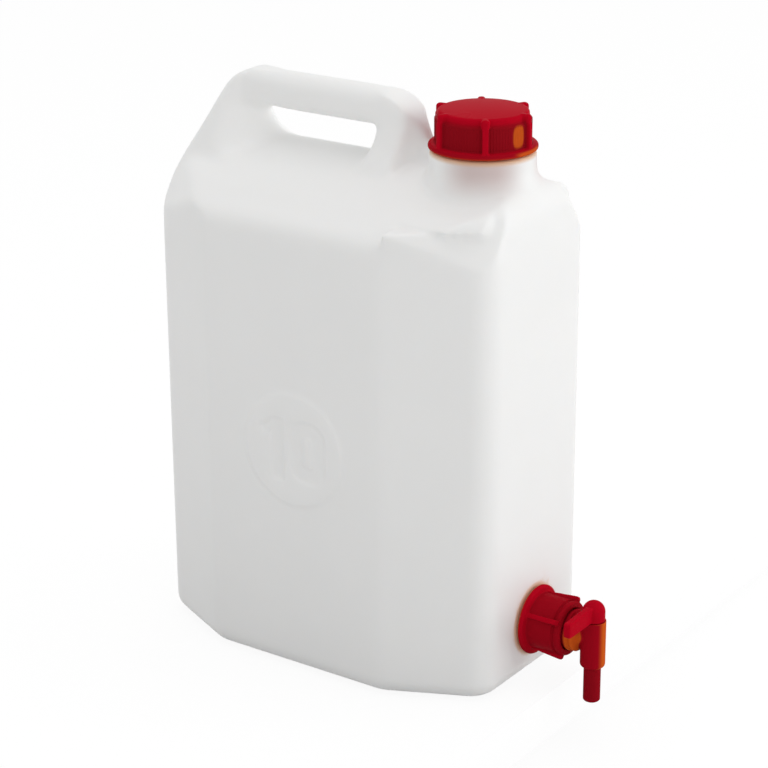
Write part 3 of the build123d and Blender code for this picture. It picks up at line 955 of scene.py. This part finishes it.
@dataclass
class Moulding:
    """Injection-moulded fitting that keeps its CAD form, with its edges slightly rounded."""

    node: bpy.types.Object
    voxel: float
    rounds: int
    body: str = ""
    slot: str = "red_polypropylene"
    triangles: int = 190000

    def extra(self) -> list[bpy.types.Mesh]:
        """Gives closed meshes that are moulded in one with the CAD form."""
        return []

    def trim(self) -> list[bpy.types.Mesh]:
        """Gives small closed meshes that stand on the finished form."""
        return []

    def light(self, rows: np.ndarray, outward: np.ndarray) -> np.ndarray:
        """Tells how much painted light each place gets.

        Args:
            rows: places on the fitting.
            outward: outward directions there; not used here.

        Returns:
            Values from 0 to 1.
        """
        return np.zeros(len(rows))

    def shade(self, rows: np.ndarray, outward: np.ndarray) -> np.ndarray:
        """Tells how much painted shade darkens each place.

        Args:
            rows: places on the fitting.
            outward: outward directions there; not used here.

        Returns:
            Values from 0 to 1.
        """
        return np.zeros(len(rows))

    def build(self, material: bpy.types.Material) -> bpy.types.Object:
        """Builds the fitting.

        Args:
            material: its plastic.

        Returns:
            The fitting's object.
        """
        name = self.node.name + "_moulded"
        form = merged_copy(self.node)
        for mesh in self.extra():
            form.from_mesh(mesh)
        mesh = remeshed(as_mesh(form, name), self.voxel)
        relax(mesh, lambda rows: np.ones(len(rows)), self.rounds)
        mesh = thinned(mesh, self.triangles)
        form = bmesh.new()
        for part in [mesh] + self.trim():
            form.from_mesh(part)
        mesh = as_mesh(form, name)
        # Paints light and shade into the layers that the material mixes in
        paint(mesh, PAINTED_LIGHT_LAYER, self.light(places(mesh), directions(mesh)))
        paint(mesh, PAINTED_SHADE_LAYER, self.shade(places(mesh), directions(mesh)))
        return finished(shown(name, mesh), material, self.body, [self.node.name])


@dataclass
class Cap(Moulding):
    """Screw cap with a lug at the head of each rib and fine grip ridges between the ribs."""

    body: str = "cap"
    ridge_tree: RidgeTree | None = None
    x: float = 80.5 * MM
    ribs: int = 6
    first_rib: float = -55.0
    lug_start: float = 22.6 * MM
    lug_end: float = 30.1 * MM
    lug_width: float = 5.0 * MM
    lug_low: float = 339.0 * MM
    lug_high: float = 344.8 * MM
    lug_edge: float = 1.9 * MM
    skirt_radius: float = 27.8 * MM
    ridge: float = 0.34 * MM
    ridge_low: float = 326.4 * MM
    ridge_high: float = 339.4 * MM
    ridge_count: int = 14
    ridge_margin: float = 6.5
    flange_low: float = 322.2 * MM
    flange_high: float = 325.3 * MM
    # Painted light in one bay of the skirt and along the flange, and painted shade on the skirt and under
    # the flange
    bay_turn: float = -11.5
    bay_half: float = 10.0
    bay_low: float = 325.9 * MM
    bay_high: float = 340.4 * MM
    bay_edge: Span = (0.72, 1.0)
    bay_light: float = 0.85
    flange_turn: float = 2.0
    flange_half: Span = (14.0, 27.0)
    flange_light: float = 0.8
    rim_light: float = 0.35
    skirt_shade: float = 0.82
    flange_shade: float = 0.45
    ridge_sunk: float = 0.6
    top: float = 342.4 * MM

    def extra(self) -> list[bpy.types.Mesh]:
        """Makes the lugs.

        Returns:
            One closed mesh for each lug.
        """
        lugs = []
        for i in range(self.ribs):
            form = bmesh.new()
            size = (self.lug_end - self.lug_start, self.lug_width, self.lug_high - self.lug_low)
            middle = ((self.lug_start + self.lug_end) / 2, 0, (self.lug_low + self.lug_high) / 2)
            place = Matrix.Translation(middle) @ Matrix.Diagonal((*size, 1))
            bmesh.ops.create_cube(form, size=1.0, matrix=place)
            bmesh.ops.bevel(form, geom=form.edges[:], offset=self.lug_edge, segments=4, profile=0.5,
                            affect="EDGES")
            turn = Matrix.Rotation(math.radians(self.first_rib + i * 360 / self.ribs), 4, "Z")
            bmesh.ops.transform(form, matrix=Matrix.Translation((self.x, 0, 0)) @ turn, verts=form.verts)
            lugs.append(as_mesh(form, "lug"))
        return lugs

    def trim(self) -> list[bpy.types.Mesh]:
        """Makes the fine grip ridges.

        Returns:
            One mesh for each bay between two ribs.
        """
        bay = 360 / self.ribs
        rows = []
        for i in range(self.ribs):
            start = self.first_rib + i * bay + self.ridge_margin
            mesh = self.ridge_tree.made({
                "Radius": self.skirt_radius - self.ridge * self.ridge_sunk,
                "Start": math.radians(start),
                "Sweep": math.radians(bay - 2 * self.ridge_margin), "Ridge": self.ridge,
                "Height": self.ridge_high - self.ridge_low, "Count": self.ridge_count,
            })
            mesh.transform(Matrix.Translation((self.x, 0, (self.ridge_low + self.ridge_high) / 2)))
            rows.append(mesh)
        return rows

    def light(self, rows: np.ndarray, outward: np.ndarray) -> np.ndarray:
        """Paints light into one bay of the skirt and onto the flange's rim and side near it, as if it came
        through the red.

        Args:
            rows: places on the cap.
            outward: outward directions there; not used here.

        Returns:
            Values from 0 to 1.
        """
        heading = np.degrees(np.arctan2(rows[:, 1], rows[:, 0] - self.x))
        height = rows[:, 2]
        across = (heading - self.bay_turn) / self.bay_half
        up = (height - (self.bay_low + self.bay_high) / 2) / ((self.bay_high - self.bay_low) / 2)
        bay = 1 - smooth_step(*self.bay_edge, (np.abs(across) ** 3 + np.abs(up) ** 3) ** (1 / 3))
        outside = np.hypot(rows[:, 0] - self.x, rows[:, 1]) > self.skirt_radius - 1 * MM
        rim = 1 - smooth_step(self.flange_low + 0.2 * MM, self.flange_low + 1.4 * MM, height)
        side = 1 - smooth_step(*self.flange_half, np.abs(heading - self.flange_turn))
        low = 1 - smooth_step(self.flange_high - 1.2 * MM, self.flange_high, height)
        flange = np.maximum(self.rim_light * rim, self.flange_light * side * low)
        return np.maximum(self.bay_light * bay * outside, flange)

    def shade(self, rows: np.ndarray, outward: np.ndarray) -> np.ndarray:
        """Paints shade on the skirt between the ribs, where the neck stands behind it, and under the
        flange.

        Args:
            rows: places on the cap.
            outward: outward directions there; not used here.

        Returns:
            Values from 0 to 1.
        """
        radius = np.hypot(rows[:, 0] - self.x, rows[:, 1])
        skirt = 1 - smooth_step(self.skirt_radius + 0.3 * MM, self.skirt_radius + 1.2 * MM, radius)
        skirt = skirt * (1 - smooth_step(self.top - 3 * MM, self.top, rows[:, 2]))
        flange = 1 - smooth_step(self.flange_high - 0.6 * MM, self.flange_high + 0.4 * MM, rows[:, 2])
        return np.maximum(self.skirt_shade * skirt, self.flange_shade * flange)


@dataclass
class Nut(Moulding):
    """Union nut, with painted shade in the bays between its wings and underneath, and painted light along
    its flange's rim.
    """

    body: str = "nut"
    axis_z: float = 35.9 * MM
    # Painted shade in the bays and on faces turned down, and painted light on the flange's rim
    bay_radius: float = 17.1 * MM
    bay_past: float = 0.8 * MM
    bay_shade: float = 0.55
    under_shade: float = 0.6
    under_slope: Span = (-0.2, 0.9)
    rim_x: Span = (121.6 * MM, 122.6 * MM)
    rim_light: float = 0.7

    def light(self, rows: np.ndarray, outward: np.ndarray) -> np.ndarray:
        """Paints light on the flange's rim against the can."""
        return self.rim_light * (1 - smooth_step(*self.rim_x, rows[:, 0]))

    def shade(self, rows: np.ndarray, outward: np.ndarray) -> np.ndarray:
        """Paints shade in the bays and on faces turned down.

        Args:
            rows: places on the nut.
            outward: outward directions there.

        Returns:
            Values from 0 to 1.
        """
        radius = np.hypot(rows[:, 1], rows[:, 2] - self.axis_z)
        bays = 1 - smooth_step(self.bay_radius, self.bay_radius + self.bay_past, radius)
        under = smooth_step(*self.under_slope, -outward[:, 2])
        return np.maximum(self.bay_shade * bays, self.under_shade * under)


@dataclass
class Housing(Moulding):
    """Tap's stem and barrel, with painted light in the stem and down the barrel's far side, and painted
    shade over it all.
    """

    body: str = "tap"
    barrel_x: float = 161.3 * MM
    axis_z: float = 35.9 * MM
    # Painted light in the lower stem and down the barrel's far side, and painted shade over the whole
    # housing
    stem_start: float = 147.0 * MM
    stem_rise: float = 2.0 * MM
    stem_light: float = 0.95
    stem_from_barrel: Span = (8.0 * MM, 8.8 * MM)
    stem_high: Span = (-1 * MM, 7 * MM)
    side_across: Span = (-0.62, -0.12)
    side_out: Span = (0.0, 0.5)
    whole_shade: float = 0.45

    def light(self, rows: np.ndarray, outward: np.ndarray) -> np.ndarray:
        """Paints light on the lower stem and the barrel's far side.

        Args:
            rows: places on the housing.
            outward: outward directions there.

        Returns:
            Values from 0 to 1.
        """
        stem = smooth_step(self.stem_start, self.stem_start + self.stem_rise, rows[:, 0])
        from_barrel = np.hypot(rows[:, 0] - self.barrel_x, rows[:, 1])
        stem = stem * smooth_step(*self.stem_from_barrel, from_barrel) * (rows[:, 0] < self.barrel_x)
        stem = stem * (1 - smooth_step(*self.stem_high, rows[:, 2] - self.axis_z))
        side = smooth_step(*self.side_across, outward[:, 1]) * smooth_step(*self.side_out, outward[:, 0])
        side = side * (rows[:, 0] > self.barrel_x)
        return np.maximum(self.stem_light * stem, side)

    def shade(self, rows: np.ndarray, outward: np.ndarray) -> np.ndarray:
        """Darkens the whole housing a little with painted shade."""
        return np.full(len(rows), self.whole_shade)


@dataclass
class Key(Moulding):
    """Turning cock: bright lever and dome, and a nozzle darkened with painted shade."""

    body: str = "key"
    # Painted shade on the nozzle, below the lever
    lever_low: float = 46.3 * MM
    nozzle_fade: float = 4.0 * MM
    nozzle_shade: float = 0.75

    def shade(self, rows: np.ndarray, outward: np.ndarray) -> np.ndarray:
        """Paints shade on the nozzle."""
        above = smooth_step(self.lever_low - self.nozzle_fade, self.lever_low, rows[:, 2])
        return self.nozzle_shade * (1 - above)


@dataclass
class Studio:
    """Pale stage, even lamps and the camera."""

    azimuth: float = 35.027
    elevation: float = 20.561
    roll: float = -0.308
    distance: float = 1457.1 * MM
    aim_x: float = 10.71 * MM
    aim_z: float = 163.27 * MM
    lens: float = 112.26
    sensor: float = 36.0
    slab_end: float = 143.0 * MM
    slab_low: float = -30.0 * MM
    reach: float = 2.2
    fill_left: float = 0.77
    fill_right: float = 0.62
    lamp_aim_z: float = 170.0 * MM
    slab_gap: float = 0.05 * MM
    stage_glow: float = 0.9
    fade: Span = (0.1, 0.6)
    floor_near: str = "#C4C4C4"
    floor_far: str = "#F0F0F0"

    def direction(self) -> Vector:
        """Gives the direction from the aim to the camera."""
        turn, rise = math.radians(self.azimuth), math.radians(self.elevation)
        return Vector((math.sin(turn) * math.cos(rise), -math.cos(turn) * math.cos(rise), math.sin(rise)))

    def camera(self) -> bpy.types.Object:
        """Sets the camera up.

        Returns:
            The camera's object.
        """
        back = self.direction()
        right = (-back).cross(Vector((0, 0, 1))).normalized()
        up = right.cross(-back)
        roll = math.radians(self.roll)
        side = right * math.cos(roll) + up * math.sin(roll)
        top = up * math.cos(roll) - right * math.sin(roll)
        data = bpy.data.cameras.new("camera")
        data.lens = self.lens
        data.sensor_width = self.sensor
        data.clip_start = 0.05
        data.clip_end = 50.0
        camera = bpy.data.objects.new("camera", data)
        turn = Matrix((side, top, back)).transposed().to_4x4()
        aim = Vector((self.aim_x, 0, self.aim_z))
        camera.matrix_world = Matrix.Translation(aim + back * self.distance) @ turn
        bpy.context.scene.collection.objects.link(camera)
        bpy.context.scene.camera = camera
        return camera

    def stage_material(self) -> bpy.types.Material:
        """Makes the stage white to the camera, with a faint shadow, and pale to the light.

        Returns:
            The stage's material.
        """
        material = bpy.data.materials.new("stage_white")
        material.use_nodes = True
        tree = material.node_tree
        tree.nodes.clear()
        seen = add_node(tree, "ShaderNodeLightPath").outputs
        direct = add_node(tree, "ShaderNodeMath", {"operation": "MAXIMUM"},
                          {0: seen["Is Camera Ray"], 1: seen["Is Glossy Ray"]})
        glow = add_node(tree, "ShaderNodeEmission", {"Strength": self.stage_glow})
        faint = add_node(tree, "ShaderNodeBsdfDiffuse", {"Color": linear("#606060")})
        white = add_node(tree, "ShaderNodeAddShader", None, {0: glow.outputs[0], 1: faint.outputs[0]})
        place = add_node(tree, "ShaderNodeTexCoord").outputs["Object"]
        reach = add_node(tree, "ShaderNodeVectorMath", {"operation": "LENGTH"}, {0: place})
        near, far = self.fade
        fade = add_node(tree, "ShaderNodeMapRange", {"From Min": near, "From Max": far},
                        {"Value": reach.outputs["Value"]})
        tone = add_node(tree, "ShaderNodeMix", {"data_type": "RGBA", 6: linear(self.floor_near),
                                                7: linear(self.floor_far)}, {0: fade.outputs[0]})
        pale = add_node(tree, "ShaderNodeBsdfDiffuse", None, {"Color": tone.outputs[2]})
        both = add_node(tree, "ShaderNodeMixShader", None,
                        {0: direct.outputs[0], 1: pale.outputs[0], 2: white.outputs[0]})
        add_node(tree, "ShaderNodeOutputMaterial", None, {"Surface": both.outputs[0]})
        return material

    def stage(self) -> None:
        """Lays the slab that the can stands on and the lower floor beyond its edge."""
        material = self.stage_material()
        for name, low, high, left, right in (
            ("stage_slab", self.slab_low, 0.0, -self.reach, self.slab_end),
            ("stage_floor", 2 * self.slab_low, self.slab_low, -self.reach, self.reach),
        ):
            form = bmesh.new()
            size = Matrix.Diagonal((right - left, 2 * self.reach, high - low, 1))
            middle = Matrix.Translation(((left + right) / 2, 0, (low + high) / 2 - self.slab_gap))
            bmesh.ops.create_cube(form, size=1.0, matrix=middle @ size)
            piece = shown(name, as_mesh(form, name))
            piece.data.materials.append(material)

    def world(self) -> None:
        """Lights the object evenly, behind a background that is white to the camera."""
        world = bpy.data.worlds.new("studio")
        bpy.context.scene.world = world
        world.use_nodes = True
        tree = world.node_tree
        tree.nodes.clear()
        seen = add_node(tree, "ShaderNodeLightPath").outputs
        straight = add_node(tree, "ShaderNodeMath", {"operation": "MAXIMUM"},
                            {0: seen["Is Camera Ray"], 1: seen["Is Glossy Ray"]})
        direct = add_node(tree, "ShaderNodeMath", {"operation": "MAXIMUM"},
                          {0: straight.outputs[0], 1: seen["Is Transmission Ray"]})
        place = add_node(tree, "ShaderNodeTexCoord").outputs["Generated"]
        side = add_node(tree, "ShaderNodeSeparateXYZ", None, {0: place}).outputs["X"]
        power = add_node(tree, "ShaderNodeMapRange", {"From Min": -1.0, "To Min": self.fill_left,
                                                      "To Max": self.fill_right}, {"Value": side})
        fill = add_node(tree, "ShaderNodeBackground", {"Color": linear("#FFFFFF")},
                        {"Strength": power.outputs[0]})
        white = add_node(tree, "ShaderNodeBackground", {"Color": linear("#FFFFFF"), "Strength": 1.0})
        both = add_node(tree, "ShaderNodeMixShader", None,
                        {0: direct.outputs[0], 1: fill.outputs[0], 2: white.outputs[0]})
        add_node(tree, "ShaderNodeOutputWorld", None, {"Surface": both.outputs[0]})

    def lamp(self, name: str, place: Vector, size: float, power: float) -> None:
        """Hangs one square soft lamp that faces the can's middle.

        Args:
            name: the lamp's name.
            place: where it hangs.
            size: length of its side.
            power: its power in watts.
        """
        data = bpy.data.lights.new(name, "AREA")
        data.size = size
        data.energy = power
        lamp = bpy.data.objects.new(name, data)
        aim = Vector((0, 0, self.lamp_aim_z))
        turn = (place - aim).to_track_quat("Z", "Y").to_matrix().to_4x4()
        lamp.matrix_world = Matrix.Translation(place) @ turn
        bpy.context.scene.collection.objects.link(lamp)

    def build(self) -> None:
        """Sets up the camera, the stage, the world and the lamps."""
        self.camera()
        self.stage()
        self.world()
        self.lamp("lamp_right", Vector((1.9, 1.15, 0.55)), size=1.3, power=12.3)
        self.lamp("lamp_low", Vector((1.6, -0.9, 0.2)), size=0.9, power=3.3)
        self.lamp("lamp_above", Vector((0.0, 0.3, 2.3)), size=1.4, power=8.5)


def main() -> None:
    """Builds the studio and every piece in order."""
    logging.basicConfig(level=logging.INFO, format="%(name)s: %(message)s")
    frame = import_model()
    nodes = frame["nodes"]
    Studio().build()
    white = CAN_WHITE.make()
    red = FITTING_RED.make()
    shell = CanShell(nodes["can_body"])
    shell.build(white)
    tree = ThreadTree(white)
    up, along = Vector((0, 0, 1)), Vector((1, 0, 0))
    neck_foot = Vector((shell.neck_x, 0, shell.collar_top))
    ThreadedTube("neck_tube", neck_foot, up, length=16.9 * MM, radius=shell.neck_radius,
                 bore=shell.neck_bore, root=3.0 * MM, pitch=6.0 * MM, turns=1.9).build(tree, white)
    spout_foot = Vector((shell.boss_face, 0, shell.outlet_z))
    ThreadedTube("outlet_tube", spout_foot, along, length=15.6 * MM, radius=shell.outlet_radius,
                 bore=shell.outlet_bore, root=2.4 * MM, pitch=4.0 * MM, turns=2.4, steps=72,
                 ridge=0.7 * MM).build(tree, white)
    fittings = (
        Cap(nodes["filler_cap"], voxel=0.42 * MM, rounds=3, ridge_tree=RidgeTree(red)),
        Nut(nodes["tap_nut"], voxel=0.4 * MM, rounds=2),
        Housing(nodes["tap_housing"], voxel=0.35 * MM, rounds=2),
        Key(nodes["tap_key"], voxel=0.35 * MM, rounds=2),
    )
    for fitting in fittings:
        fitting.build(red)
    nodes["cap_liner"].data.materials.clear()
    nodes["cap_liner"].data.materials.append(LINER_FOAM.make())
    nodes["tap_washer"].data.materials.clear()
    nodes["tap_washer"].data.materials.append(SEAL_RUBBER.make())
    bpy.context.scene.view_settings.view_transform = "Standard"


if __name__ == "__main__":
    main()
